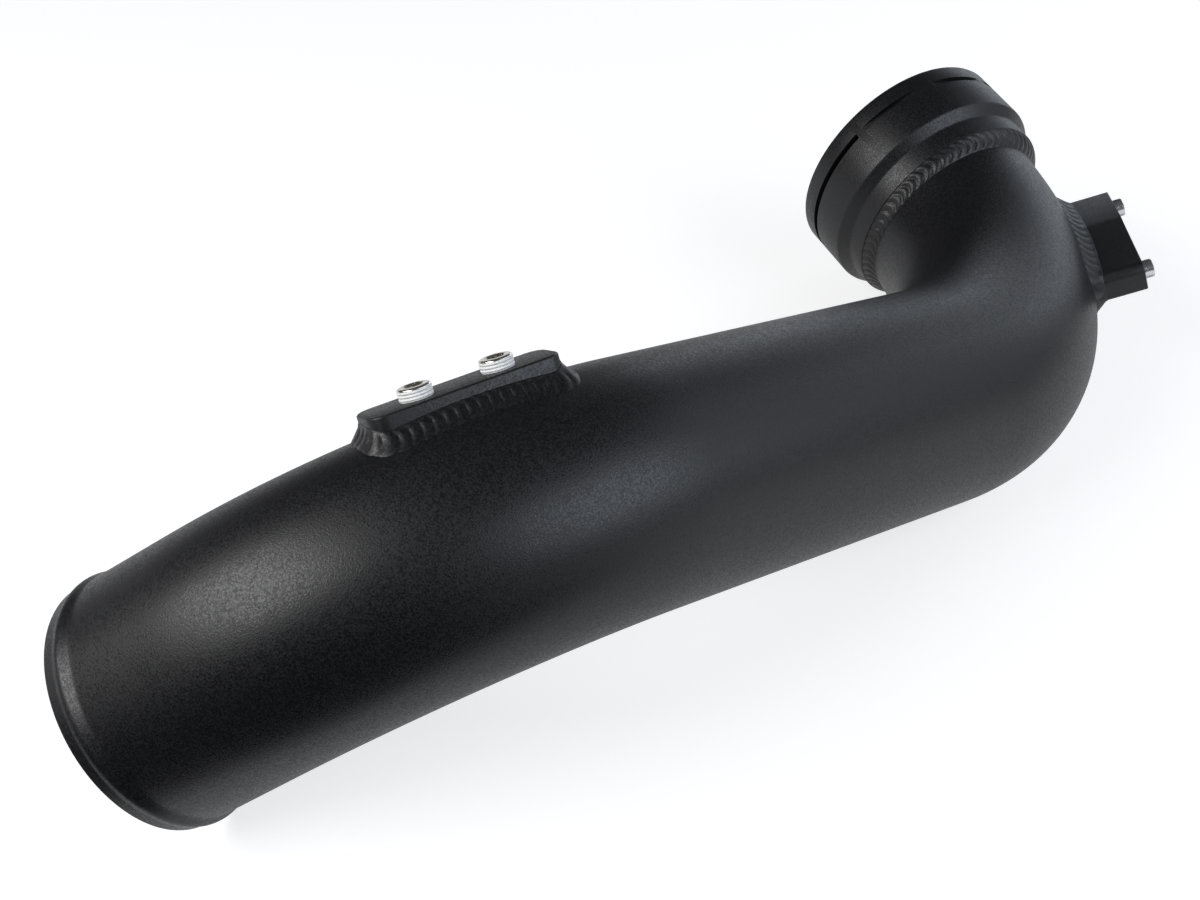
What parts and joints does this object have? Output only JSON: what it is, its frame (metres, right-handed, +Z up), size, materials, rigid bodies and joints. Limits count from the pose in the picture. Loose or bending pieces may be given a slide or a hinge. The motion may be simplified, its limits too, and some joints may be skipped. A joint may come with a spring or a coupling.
{
  "type": "intercooler pipe",
  "caption": "Bent charge air pipe with a rolled hose end, a welded throttle collar with clip slots, a plugged port bar and a drilled mounting bar.",
  "frame": {"origin": "centre of the bounding box on the floor the pipe lies on", "axes": "+Z up from the floor, +X from the hose end towards the throttle collar along the pipe's length"},
  "size_m": [0.4724, 0.167, 0.126],
  "materials": {
    "black_coat": "satin powder coat",
    "plug_metal": "bright plated",
    "screw_steel": "satin"
  },
  "bodies": {
    "root": {"main_pipe": "black_coat", "throttle_collar": "black_coat", "collar_weld": "black_coat", "port_bar": "black_coat", "port_bar_weld": "black_coat", "port_plugs": "plug_metal", "mount_bar": "black_coat", "mount_bar_weld": "black_coat", "mount_screws": "screw_steel"}
  },
  "joints": []
}
